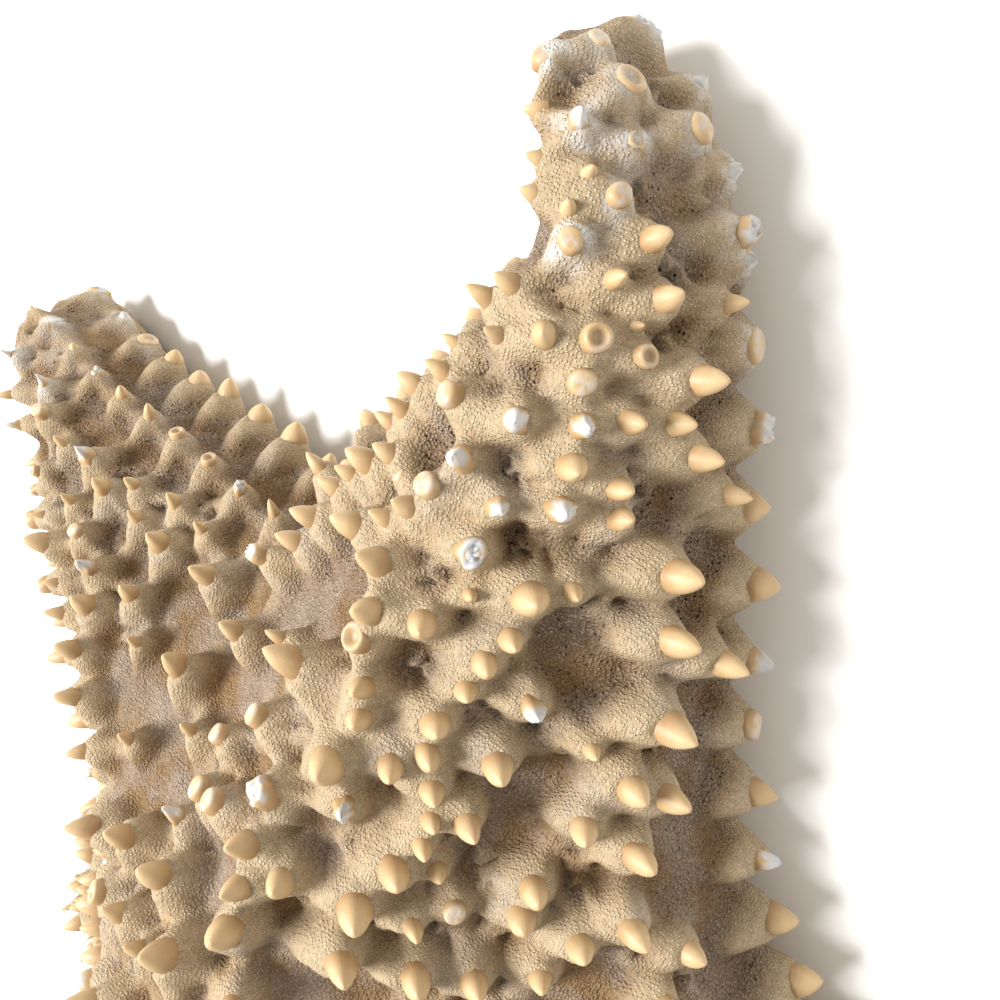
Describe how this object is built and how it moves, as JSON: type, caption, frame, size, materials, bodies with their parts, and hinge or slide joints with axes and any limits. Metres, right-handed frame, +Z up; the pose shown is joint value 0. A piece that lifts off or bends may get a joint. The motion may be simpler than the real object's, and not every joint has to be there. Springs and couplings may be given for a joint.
{
  "type": "starfish",
  "caption": "Dried cushion starfish lying flat: tapering arms with a high knobbly back, blunt spines along the rim and open furrows underneath.",
  "frame": {"origin": "middle of the bounding box in X and Y, on the plane that the starfish rests on", "axes": "+Y roughly along the arm seen whole in the picture, +Z up through the knobbly back, X to that arm's right seen from above"},
  "size_m": [0.2272, 0.2336, 0.0606],
  "materials": {
    "dried_skin": "matte, dry and finely granular"
  },
  "bodies": {
    "root": {"starfish": "dried_skin"}
  },
  "joints": []
}
